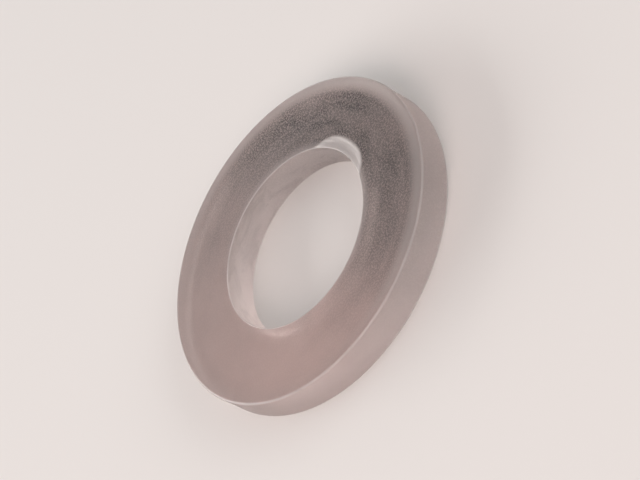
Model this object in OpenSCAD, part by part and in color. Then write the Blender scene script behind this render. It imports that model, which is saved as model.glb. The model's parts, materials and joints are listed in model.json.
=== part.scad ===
// Flat washer for a 12 mm screw: one plain ring, moulded in one piece.
// Millimetres. Z = 0 is the lower bearing face and the bore runs up along Z.

/* [Ring] */
// Outside diameter
outer_d = 24; // [20:0.1:30]
// Bore diameter, a clearance hole for the screw
bore_d = 13.2; // [12.4:0.1:16]
// Thickness between the two bearing faces
thickness = 2.5; // [1.5:0.1:4]

/* [Edges] */
// Radius of the rounded outside edges
rim_edge_r = 0.2; // [0.05:0.05:0.6]
// Radius of the rounded edges at the mouths of the bore
bore_edge_r = 0.1; // [0.05:0.05:0.4]

/* [Drawing] */
// Straight sides drawn around a full circle
sides = 180; // [48:12:360]

/* [Hidden] */
outer_r = outer_d / 2;
bore_r = bore_d / 2;
ring_w = outer_r - bore_r;

// What a rounded edge takes off a square corner at the origin, the material being at +X and +Y.
module corner_waste(r) {
    difference() {
        square(r);
        translate([r, r]) circle(r, $fn = sides);
    }
}

// What the two rounded lower corners take off a bar that runs from X = 0, the bore's side, to X = w.
module edges_waste(w, outer_edge_r, inner_edge_r) {
    corner_waste(inner_edge_r);
    translate([w, 0]) mirror([1, 0]) corner_waste(outer_edge_r);
}

// The ring's cross-section: a bar as wide as the ring, with its four corners rounded.
module section() {
    translate([bore_r, 0]) difference() {
        square([ring_w, thickness]);
        edges_waste(ring_w, rim_edge_r, bore_edge_r);
        translate([0, thickness]) mirror([0, 1]) edges_waste(ring_w, rim_edge_r, bore_edge_r);
    }
}

// The whole washer: the section turned around the bore's axis.
module washer() {
    color([0.86, 0.86, 0.84, 0.8]) rotate_extrude($fn = sides) section();
}

washer();
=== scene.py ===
import json
from math import cos, pi, radians, sin

import bpy
import numpy as np
from mathutils import Matrix, Vector


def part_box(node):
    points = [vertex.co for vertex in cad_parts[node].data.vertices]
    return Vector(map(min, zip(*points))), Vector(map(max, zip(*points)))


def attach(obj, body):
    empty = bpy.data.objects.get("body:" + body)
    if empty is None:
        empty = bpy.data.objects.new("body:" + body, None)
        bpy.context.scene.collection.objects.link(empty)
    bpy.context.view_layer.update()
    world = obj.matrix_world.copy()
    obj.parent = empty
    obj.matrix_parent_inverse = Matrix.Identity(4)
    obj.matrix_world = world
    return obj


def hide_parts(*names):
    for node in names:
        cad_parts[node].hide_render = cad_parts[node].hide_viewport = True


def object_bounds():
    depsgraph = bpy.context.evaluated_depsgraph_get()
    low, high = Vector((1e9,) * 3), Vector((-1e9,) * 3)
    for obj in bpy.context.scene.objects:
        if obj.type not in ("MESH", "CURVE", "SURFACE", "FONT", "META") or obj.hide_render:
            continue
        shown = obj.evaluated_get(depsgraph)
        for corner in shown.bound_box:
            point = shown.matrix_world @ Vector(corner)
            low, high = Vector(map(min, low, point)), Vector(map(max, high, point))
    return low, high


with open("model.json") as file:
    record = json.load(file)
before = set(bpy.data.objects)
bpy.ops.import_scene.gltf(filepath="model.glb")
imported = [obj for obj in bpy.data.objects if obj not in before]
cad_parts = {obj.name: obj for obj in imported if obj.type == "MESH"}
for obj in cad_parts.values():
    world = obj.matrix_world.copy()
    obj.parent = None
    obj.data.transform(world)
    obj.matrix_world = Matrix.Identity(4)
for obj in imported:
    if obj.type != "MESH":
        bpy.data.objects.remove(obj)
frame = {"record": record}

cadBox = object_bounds()
print("frame loaded, CAD box", cadBox)


class Wire:
    # One socket of a material's node tree. Sums, differences and products become Math nodes.
    def __init__(self, tree, socket=None):
        self.tree, self.socket = tree, socket

    def node(self, kind, settings={}, sockets={}, out=0):
        made = self.tree.nodes.new(kind)
        for name, value in settings.items():
            setattr(made, name, value)
        for key, value in sockets.items():
            if isinstance(value, Wire):
                self.tree.links.new(value.socket, made.inputs[key])
            else:
                made.inputs[key].default_value = value
        return Wire(self.tree, made.outputs[out])

    def maths(self, operation, first, second):
        return self.node("ShaderNodeMath", {"operation": operation}, {0: first, 1: second})

    def __add__(self, other):
        return self.maths("ADD", self, other)

    def __sub__(self, other):
        return self.maths("SUBTRACT", self, other)

    def __mul__(self, other):
        return self.maths("MULTIPLY", self, other)

    def __rsub__(self, other):
        return self.maths("SUBTRACT", other, self)

    __radd__, __rmul__ = __add__, __mul__


def newMaterial(name):
    material = bpy.data.materials.new(name)
    material.use_nodes = True
    material.node_tree.nodes.clear()
    return material, Wire(material.node_tree)


def showShader(wire, surface, volume=None):
    output = wire.tree.nodes.new("ShaderNodeOutputMaterial")
    wire.tree.links.new(surface.socket, output.inputs["Surface"])
    if volume:
        wire.tree.links.new(volume.socket, output.inputs["Volume"])


def noise(wire, place, scale, detail, twist=0.0):
    # Noise with so many cells per metre, each finer octave 0.6 as strong as the one before.
    return wire.node("ShaderNodeTexNoise", {}, {
        "Vector": place, "Scale": scale, "Detail": detail, "Roughness": 0.6, "Distortion": twist}, "Fac")


def fade(wire, value, start, end, low=0.0, high=1.0):
    # An S-curve from low, where value is start, to high, where value is end.
    return wire.node("ShaderNodeMapRange", {"interpolation_type": "SMOOTHSTEP"}, {
        "Value": value, "From Min": start, "From Max": end, "To Min": low, "To Max": high})


def larger(wire, first, second):
    return wire.maths("MAXIMUM", first, second)


def flatPart(wire, place):
    # The same place with its height left out.
    return wire.node("ShaderNodeVectorMath", {"operation": "MULTIPLY"}, {0: place, 1: (1, 1, 0)})


ring = dict(
    around=720,            # steps around the bore
    sideSteps=24,          # steps along each straight side of the section
    edgeSteps=10,          # steps around each rounded edge
    rimEdge=0.2e-3,        # radius of the outside edges
    boreEdge=0.1e-3,       # radius of the bore's edges
    sink=0.012e-3,         # how far the cooling plastic pulls each side in
    wave=0.008e-3,         # depth of the slow unevenness around the ring
    waveCounts=(3, 5, 8),  # its waves in one turn
    waveShift=(900, 500),  # radians they move on per metre outward and upward
)


def sectionPath(inner, outer, height):
    # A rectangle with rounded corners, walked anticlockwise from the lower outside corner:
    # each corner is centre + radius * (cos, sin), and each side runs straight to the next corner.
    radius = np.array([ring["rimEdge"]] * 2 + [ring["boreEdge"]] * 2)
    centreR = np.array([outer, outer, inner, inner]) + radius * (-1, -1, 1, 1)
    centreZ = np.array([0, height, height, 0]) + radius * (1, -1, -1, 1)
    quarter = np.linspace(-90, 0, ring["edgeSteps"] + 1)
    angle = np.radians(90 * np.arange(4)[:, None] + quarter)
    cornerR = centreR[:, None] + radius[:, None] * np.cos(angle)
    cornerZ = centreZ[:, None] + radius[:, None] * np.sin(angle)
    share = np.linspace(0, 1, ring["sideSteps"] + 1)[1:-1]
    sides = []
    for corner in (cornerR, cornerZ):
        start, end = corner[:, -1:], np.roll(corner[:, :1], -1, axis=0)
        sides.append(start + (end - start) * share)
    along = np.concatenate([np.full((4, quarter.size), 0.0), np.tile(share, (4, 1))], axis=1)
    pathR = np.concatenate([cornerR, sides[0]], axis=1)
    pathZ = np.concatenate([cornerZ, sides[1]], axis=1)
    facing = np.concatenate([angle, np.repeat(angle[:, -1:], share.size, axis=1)], axis=1)
    normalR, normalZ = np.cos(facing), np.sin(facing)
    return [a.ravel() for a in (pathR, pathZ, normalR, normalZ, along)]


def unevenness(turn, along, pathR, pathZ):
    # Inward only. Each side dips by the sink times sin squared of its share of a half turn, and a
    # slow wave, the mean of one cosine for each wave count, is added in the same proportion.
    dip = np.sin(pi * along) ** 2
    phase = ring["waveShift"][0] * pathR + ring["waveShift"][1] * pathZ
    waves = sum(np.cos(k * turn + k * k + phase) for k in ring["waveCounts"]) / len(ring["waveCounts"])
    return dip * (ring["sink"] + ring["wave"] * (0.5 + 0.5 * waves))


def boreRadius():
    bore = next(mount for mount in frame["record"]["mounts"] if mount["name"] == "bore")
    return bore["dims"]["r_mm"] / 1000


def outerRadius():
    low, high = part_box("washer")
    return (high.x - low.x) / 2


def makeRing():
    # The section's path is carried once around the axis: (radius * cos, radius * sin, height), with
    # every point moved against its normal by the unevenness.
    low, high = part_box("washer")
    pathR, pathZ, normalR, normalZ, along = sectionPath(boreRadius(), outerRadius(), high.z - low.z)
    turn = np.linspace(0, 2 * pi, ring["around"], endpoint=False)[:, None]
    inward = unevenness(turn, along, pathR, pathZ)
    radius = pathR - normalR * inward
    points = np.stack([
        radius * np.cos(turn),
        radius * np.sin(turn),
        low.z + pathZ - normalZ * inward,
    ], axis=-1)
    rows, columns = points.shape[:2]
    index = np.arange(rows * columns).reshape(rows, columns)
    after = np.roll(index, -1, axis=0)
    quads = np.stack([index, after, np.roll(after, -1, axis=1), np.roll(index, -1, axis=1)], axis=-1)
    mesh = bpy.data.meshes.new("washer_ring")
    mesh.from_pydata(points.reshape(-1, 3), [], quads.reshape(-1, 4))
    mesh.polygons.foreach_set("use_smooth", np.ones(len(mesh.polygons), bool))
    shares = {
        "wallShare": normalR ** 2,                  # 1 on the rim and bore, 0 on the faces
        "edgeShare": 4 * (normalR * normalZ) ** 2,  # 1 along the middle of each rounded edge
    }
    for name, share in shares.items():
        attribute = mesh.attributes.new(name, "FLOAT", "POINT")
        attribute.data.foreach_set("value", np.tile(share, rows).astype(np.float32))
    mesh.update()
    piece = bpy.data.objects.new("washer_ring", mesh)
    bpy.context.collection.objects.link(piece)
    return piece


frost = dict(
    faceTint=(0.97, 0.80, 0.765, 1),  # what each face leaves of red, green and blue
    wallShadedTint=(0.88, 0.795, 0.775, 1),  # the same on the rim and in the bore, darker and less pink: painted shade
    edgeHighlightTint=(0.99, 0.98, 0.97, 1),   # and along the rounded edges, where it is a painted highlight
    depthTint=(0.60, 0.45, 0.40, 1),  # and in the plastic between them
    depthStrength=35,                 # per metre of plastic
    refraction=1.53,
    clear=0.91,                       # share of the skin that lets light in, the rest is matt
    faceRoughness=0.42,
    wallRoughness=0.48,
    edgeRoughness=-0.04,              # added along a rounded edge
)

grain = dict(
    scale=8000,                       # grains per metre
    range=(0.45, 0.62),               # noise at the bottom of a grain and at its top
    shade=0.52,                       # how much darker the bottom is
    depth=0.008e-3,                   # from its top to its bottom
    onWalls=0.2,                      # grain on the rim and bore, beside that on the faces
    fadeFrom=-0.008,                  # it comes in from here along X
    fadeTo=0.008,
    fadeLow=0.12,                     # and this much of it is left on the smooth side
    wander=0.006,                     # how far the clouds push that fade about
)

cloud = dict(
    scale=320,                        # clouds per metre
    shade=0.16,                       # how much darker a full cloud is
    paintedShadeOnSide=0.17,                   # painted shade: how much darker one side of each face is
    paintedShadeTurn=60,                      # degrees round from +X to that side
    paintedShadeReach=0.010,                  # it comes in over this far each side of the middle
    flowScale=800,                    # flow bands per metre outward
    flowTurn=1.6,                     # and their changes around the ring
    flowRange=(0.35, 0.65),           # noise between the bands and in them
    flowShade=0.22,                   # how much darker a band is
    smearScale=380,                   # smears per metre
    smearStretch=(1, 1, 2.5),         # the smears run around the bore
    smearTwist=0.6,
    smearRange=(0.42, 0.62),          # noise between the smears and in them
    smearShade=0.16,                  # how much darker they are
    smearOnRim=0.15,                  # how much of them, and of the bore's painted shade, the rim has
    borePaintedShade=0.18,                   # painted shade: how much darker the bore is, apart from its smears
)

margin = dict(
    outerReach=1.35e-3,               # paler margin along the outside of each face
    outerFull=0.33e-3,                # full from here to the edge
    outerPale=0.75,                   # how far it goes to the painted highlight tint of the edges
    boreReach=0.7e-3,                 # and along the mouth of the bore
    borePale=0.45,
)

# The crescent beside the bore is a painted highlight, pale and partly white.
crescentHighlight = dict(
    turn=-4,                          # degrees round from +X to its middle
    spread=32,                        # degrees from its middle to its tips
    reach=1.15e-3,                    # from the bore's edge out
    soft=0.42e-3,                     # over which its outer edge fades
    strength=1.0,                     # how far it goes to the painted highlight tint of the edges
    highlightWhite=0.55,                       # how white it is at its palest
    band=(0.35e-3, 0.85e-3),          # from its outer edge in, where that white falls off
    innerWhite=0.35,                  # and what is left of it beside the bore
    lineScale=3200,                   # fine lines per metre outward
    lineLow=0.45,                     # and how much of the white is left between them
    crescentWhiteTint=(0.93, 0.91, 0.89, 1),
    crescentWhiteRoughness=0.55,
)


def distance(wire, place):
    # How far a point is from the axis of the bore.
    return wire.node("ShaderNodeVectorMath", {"operation": "LENGTH"}, {0: flatPart(wire, place)}, "Value")


def makeFlow(wire, place, scale):
    # Noise read at (direction from the axis, radius), so it draws out into bands around the ring.
    direction = wire.node("ShaderNodeVectorMath", {"operation": "NORMALIZE"}, {0: flatPart(wire, place)})
    around = wire.node("ShaderNodeVectorMath", {"operation": "SCALE"}, {
        0: direction, "Scale": cloud["flowTurn"]})
    outward = wire.node("ShaderNodeCombineXYZ", {}, {"Z": distance(wire, place) * scale})
    where = wire.node("ShaderNodeVectorMath", {"operation": "ADD"}, {0: around, 1: outward})
    return fade(wire, noise(wire, where, 1.0, 2), cloud["flowRange"][0], cloud["flowRange"][1])


def makeCrescentHighlight(wire, place, wall):
    # A painted highlight: a pale crescent beside the mouth of the bore, on the upper face only. It lies
    # where radius < bore radius + reach * window, and window falls off by the cosine of the turn from its
    # middle.
    # Returned with it: how white the painted highlight is, most along its outer edge and broken up by fine
    # lines.
    low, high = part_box("washer")
    radius = distance(wire, place)
    turn = radians(crescentHighlight["turn"])
    along = wire.node("ShaderNodeVectorMath", {"operation": "DOT_PRODUCT"}, {
        0: flatPart(wire, place), 1: (cos(turn), sin(turn), 0)}, "Value")
    cosine = wire.maths("DIVIDE", along, radius)
    window = fade(wire, cosine, cos(radians(crescentHighlight["spread"])), 1.0)
    inside = boreRadius() + crescentHighlight["reach"] * window - radius
    body = fade(wire, inside, 0.0, crescentHighlight["soft"], high=crescentHighlight["strength"])
    height = wire.node("ShaderNodeSeparateXYZ", {}, {0: place}, "Z")
    crescentMask = body * fade(wire, height, (low.z + high.z) / 2, high.z) * (1 - wall)
    inward = fade(wire, inside, crescentHighlight["band"][0], crescentHighlight["band"][1], low=1.0, high=crescentHighlight["innerWhite"])
    lines = crescentHighlight["lineLow"] + (1 - crescentHighlight["lineLow"]) * makeFlow(wire, place, crescentHighlight["lineScale"])
    return crescentMask, crescentMask * inward * lines * crescentHighlight["highlightWhite"]


def makePale(wire, place, grained, crescentMask):
    # The pale parts of a face: the larger of its two margins, where it is grained, and of the crescent, a
    # painted highlight.
    radius = distance(wire, place)
    outer, bore = outerRadius(), boreRadius()
    outerMargin = fade(wire, radius, outer - margin["outerReach"], outer - margin["outerFull"],
                       high=margin["outerPale"])
    boreMargin = fade(wire, radius, bore, bore + margin["boreReach"], low=margin["borePale"], high=0.0)
    return larger(wire, crescentMask, larger(wire, outerMargin, boreMargin) * grained)


def makeFrostedPlastic():
    material, wire = newMaterial("frosted plastic")
    place = wire.node("ShaderNodeTexCoord", out="Object")
    wall = wire.node("ShaderNodeAttribute", {"attribute_name": "wallShare"}, out="Fac")
    edge = wire.node("ShaderNodeAttribute", {"attribute_name": "edgeShare"}, out="Fac")
    clouds = noise(wire, place, cloud["scale"], 3)
    across = wire.node("ShaderNodeSeparateXYZ", {}, {0: place})
    wandering = grain["wander"] * (clouds - 0.5)
    patch = fade(wire, across + wandering, grain["fadeFrom"], grain["fadeTo"], low=grain["fadeLow"])
    rough = patch * (1 - (1 - grain["onWalls"]) * wall)
    grains = fade(wire, noise(wire, place, grain["scale"], 2), grain["range"][0], grain["range"][1])
    # The crescent beside the bore is a painted highlight.
    crescentMask, crescentWhiteShare = makeCrescentHighlight(wire, place, wall)
    pale = makePale(wire, place, patch * (1 - wall), crescentMask)

    stretched = wire.node("ShaderNodeVectorMath", {"operation": "MULTIPLY"}, {
        0: place, 1: cloud["smearStretch"]})
    smeared = noise(wire, stretched, cloud["smearScale"], 4, twist=cloud["smearTwist"])
    smears = fade(wire, smeared, cloud["smearRange"][0], cloud["smearRange"][1])
    radius = distance(wire, place)
    inBore = fade(wire, radius, boreRadius(), outerRadius(), low=1.0, high=cloud["smearOnRim"])
    flow = makeFlow(wire, place, cloud["flowScale"])
    # Painted shade: each face is darkened towards one side. Flow bands are added to it below.
    paintedShadeTurn = radians(cloud["paintedShadeTurn"])
    towardPaintedShade = wire.node("ShaderNodeVectorMath", {"operation": "DOT_PRODUCT"}, {
        0: place, 1: (cos(paintedShadeTurn), sin(paintedShadeTurn), 0)}, "Value")
    paintedShadeShare = fade(wire, towardPaintedShade + wandering, -cloud["paintedShadeReach"], cloud["paintedShadeReach"])
    flowBandsAndPaintedShade = cloud["flowShade"] * flow * rough + cloud["paintedShadeOnSide"] * paintedShadeShare
    # The bore's painted shade is taken off here along with its smears.
    shade = (1 - cloud["shade"] * clouds
             - grain["shade"] * rough * (1 - grains) * (1 - pale)
             - (cloud["smearShade"] * smears + cloud["borePaintedShade"]) * inBore * wall
             - flowBandsAndPaintedShade * (1 - wall) * (1 - pale))
    # The rim and bore get a darker, less pink tint than the faces: painted shade.
    tint = wire.node("ShaderNodeMix", {"data_type": "RGBA"}, {
        "Factor": wall, 6: frost["faceTint"], 7: frost["wallShadedTint"]}, 2)
    ground = wire.node("ShaderNodeVectorMath", {"operation": "SCALE"}, {0: tint, "Scale": shade})
    # Towards the pale edge tint along the rounded edges, a painted highlight, and on the pale parts.
    colour = wire.node("ShaderNodeMix", {"data_type": "RGBA"}, {
        "Factor": larger(wire, edge, pale), 6: ground, 7: frost["edgeHighlightTint"]}, 2)
    bump = wire.node("ShaderNodeBump", {}, {
        "Height": grains * rough, "Strength": 1.0, "Distance": grain["depth"]}, "Normal")
    roughness = (frost["faceRoughness"] + (frost["wallRoughness"] - frost["faceRoughness"]) * wall
                 + frost["edgeRoughness"] * edge)
    clear = wire.node("ShaderNodeBsdfPrincipled", {}, {
        "Base Color": colour,
        "Roughness": roughness,
        "IOR": frost["refraction"],
        "Transmission Weight": frost["clear"],
        "Normal": bump,
    }, "BSDF")
    # A matt white skin mixed in over the crescent: painted highlight.
    highlightWhite = wire.node("ShaderNodeBsdfPrincipled", {}, {
        "Base Color": crescentHighlight["crescentWhiteTint"], "Roughness": crescentHighlight["crescentWhiteRoughness"]}, "BSDF")
    surface = wire.node("ShaderNodeMixShader", {}, {"Fac": crescentWhiteShare, 1: clear, 2: highlightWhite}, "Shader")
    depth = wire.node("ShaderNodeVolumeAbsorption", {}, {
        "Color": frost["depthTint"], "Density": frost["depthStrength"]}, "Volume")
    showShader(wire, surface, depth)
    return material


stage = dict(
    floorSize=6.0,
    floorGap=0.02e-3,                 # between the washer and the floor
    floorColour=(0.72, 0.715, 0.70, 1),
    floorRoughness=0.9,
    floorSpecular=0.2,
    worldColour=(0.92, 0.90, 0.90, 1),
    worldStrength=0.50,
)


def makeFloor(lowest):
    half = stage["floorSize"] / 2
    height = lowest - stage["floorGap"]
    mesh = bpy.data.meshes.new("floor")
    corners = [(-half, -half, height), (half, -half, height), (half, half, height), (-half, half, height)]
    mesh.from_pydata(corners, [], [(0, 1, 2, 3)])
    floor = bpy.data.objects.new("floor", mesh)
    bpy.context.collection.objects.link(floor)
    material, wire = newMaterial("pale floor")
    shader = wire.node("ShaderNodeBsdfPrincipled", {}, {
        "Base Color": stage["floorColour"], "Roughness": stage["floorRoughness"],
        "Specular IOR Level": stage["floorSpecular"]}, "BSDF")
    showShader(wire, shader)
    mesh.materials.append(material)


def makeWorld():
    world = bpy.data.worlds.new("soft room")
    world.use_nodes = True
    background = world.node_tree.nodes["Background"]
    background.inputs["Color"].default_value = stage["worldColour"]
    background.inputs["Strength"].default_value = stage["worldStrength"]
    bpy.context.scene.world = world


# Each lamp is a flat panel, size wide and high, that faces the washer.
lamps = dict(
    front=dict(place=(-0.25, -0.25, 0.30), size=(0.30, 0.30), watts=0.94, colour=(1.0, 0.76, 0.71)),
    right=dict(place=(0.375, -0.25, 0.20), size=(0.60, 0.25), watts=1.0, colour=(1.0, 0.97, 0.95)),
    left=dict(place=(-0.50, 0.375, 0.175), size=(0.75, 0.25), watts=4.25, colour=(1.0, 0.97, 0.95)),
    low=dict(place=(0.0, 0.75, 0.20), size=(0.75, 0.30), watts=0.88, colour=(1.0, 0.97, 0.95)),
)


def makeLamps():
    for name, lamp in lamps.items():
        data = bpy.data.lights.new(name, "AREA")
        data.shape = "RECTANGLE"
        data.size, data.size_y = lamp["size"]
        data.energy, data.color = lamp["watts"], lamp["colour"]
        light = bpy.data.objects.new(name, data)
        light.location = lamp["place"]
        light.rotation_euler = (-Vector(lamp["place"])).to_track_quat("-Z", "Y").to_euler()
        light.visible_camera = False
        bpy.context.collection.objects.link(light)


view = dict(
    aim=(0.66e-3, 0.49e-3, 0),      # point on the floor in the middle of the frame
    distance=148.7e-3,
    elevation=36.5,                 # degrees above the washer's faces
    roll=62.5,                      # degrees the camera is rolled clockwise, seen from behind it
    lens=121.8,
    sensor=36,
    clip=(0.005, 10),
)


def makeCamera():
    data = bpy.data.cameras.new("camera")
    data.sensor_width, data.lens = view["sensor"], view["lens"]
    data.clip_start, data.clip_end = view["clip"]
    camera = bpy.data.objects.new("camera", data)
    tilt = radians(view["elevation"])
    back = Vector((0, -cos(tilt), sin(tilt)))
    camera.location = Vector(view["aim"]) + view["distance"] * back
    # A camera looks down its -Z: tip it up from straight down, then roll it about its own axis.
    turn = Matrix.Rotation(pi / 2 - tilt, 4, "X") @ Matrix.Rotation(-radians(view["roll"]), 4, "Z")
    camera.rotation_euler = turn.to_euler()
    bpy.context.collection.objects.link(camera)
    bpy.context.scene.camera = camera


bpy.context.scene.view_settings.view_transform = "Standard"
makeCamera()
makeWorld()
makeLamps()
makeFloor(cadBox[0][2])
print("stage set")

washerRing = makeRing()
washerRing.data.materials.append(makeFrostedPlastic())
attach(washerRing, "root")
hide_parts("washer")
print("washer made,", len(washerRing.data.polygons), "faces")
